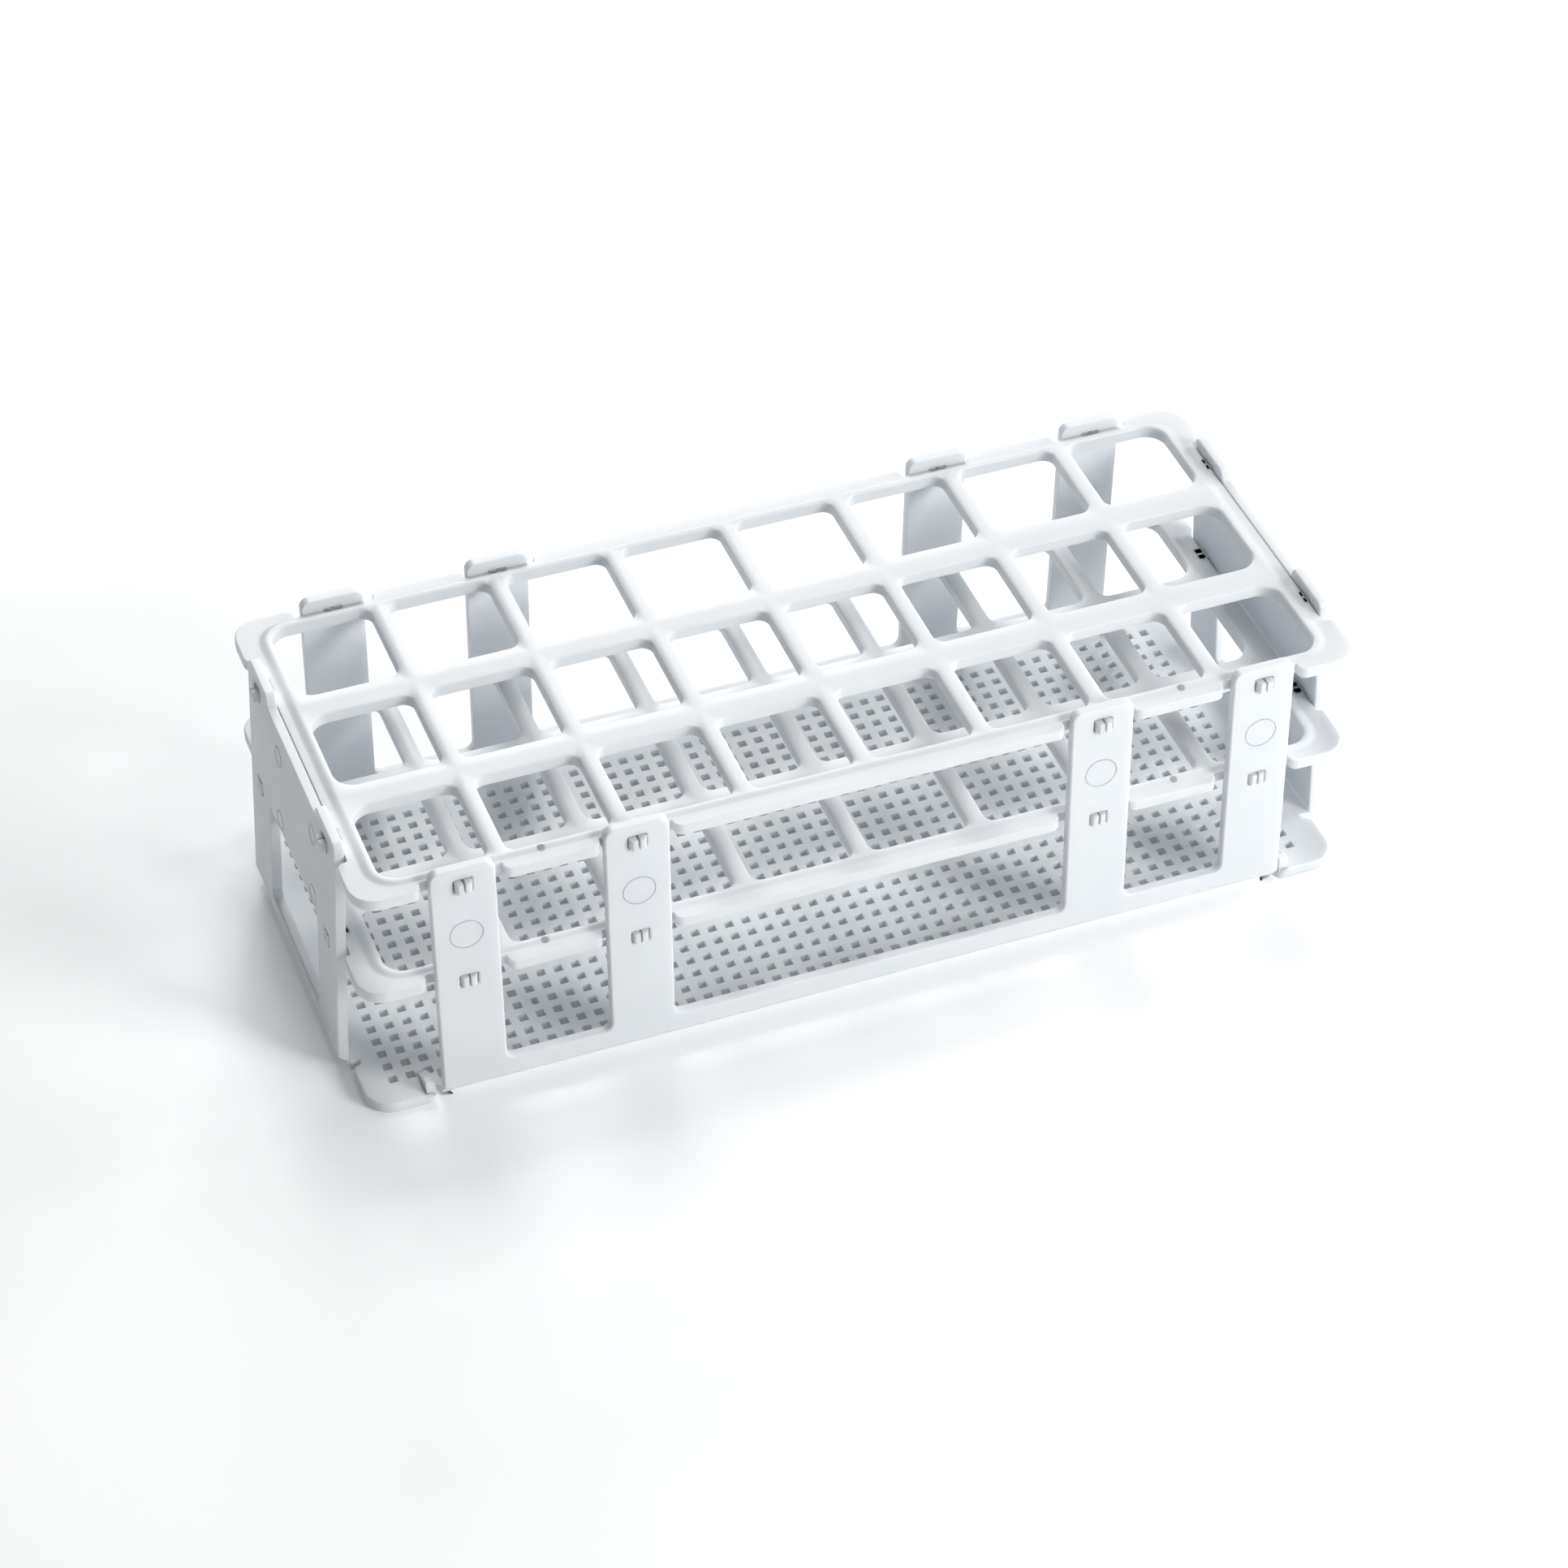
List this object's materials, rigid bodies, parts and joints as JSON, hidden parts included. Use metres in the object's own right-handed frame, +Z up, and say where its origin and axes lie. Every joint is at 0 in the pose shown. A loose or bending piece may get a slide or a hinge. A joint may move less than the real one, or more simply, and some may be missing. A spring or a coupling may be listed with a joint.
{
  "type": "test tube rack",
  "caption": "Flat-pack laboratory rack for large test tubes: a perforated base with four side panels on living hinges that fold up and snap onto two hole shelves.",
  "frame": {"origin": "centre of the base's flat underside", "axes": "+X along the rack's length, +Y from the front towards the back, +Z up"},
  "size_m": [0.2516, 0.1076, 0.0702],
  "materials": {
    "moulded_base": "satin moulded polypropylene",
    "moulded_shelf": "satin moulded polypropylene",
    "hinge_film": "thin flexed polypropylene"
  },
  "bodies": {
    "rack": {"base_plate": "moulded_base", "lower_shelf": "moulded_shelf", "upper_shelf": "moulded_shelf", "front_hinge_web": "hinge_film", "back_hinge_web": "hinge_film", "left_hinge_web": "hinge_film", "right_hinge_web": "hinge_film"},
    "front_flap": {"front_panel": "moulded_base"},
    "back_flap": {"back_panel": "moulded_base"},
    "left_flap": {"left_end_panel": "moulded_base"},
    "right_flap": {"right_end_panel": "moulded_base"}
  },
  "joints": [
    {"name": "front_hinge", "type": "hinge", "parent": "rack", "child": "front_flap", "pos_m": [0, -0.0516, 0.0027], "axis": [1, 0, 0], "range_deg": [0, 91.6]},
    {"name": "back_hinge", "type": "hinge", "parent": "rack", "child": "back_flap", "pos_m": [0, 0.0516, 0.0027], "axis": [-1, 0, 0], "range_deg": [0, 91.6]},
    {"name": "left_hinge", "type": "hinge", "parent": "rack", "child": "left_flap", "pos_m": [-0.1236, 0, 0.0027], "axis": [0, -1, 0], "range_deg": [0, 92.6]},
    {"name": "right_hinge", "type": "hinge", "parent": "rack", "child": "right_flap", "pos_m": [0.1236, 0, 0.0027], "axis": [0, 1, 0], "range_deg": [0, 92.6]}
  ]
}
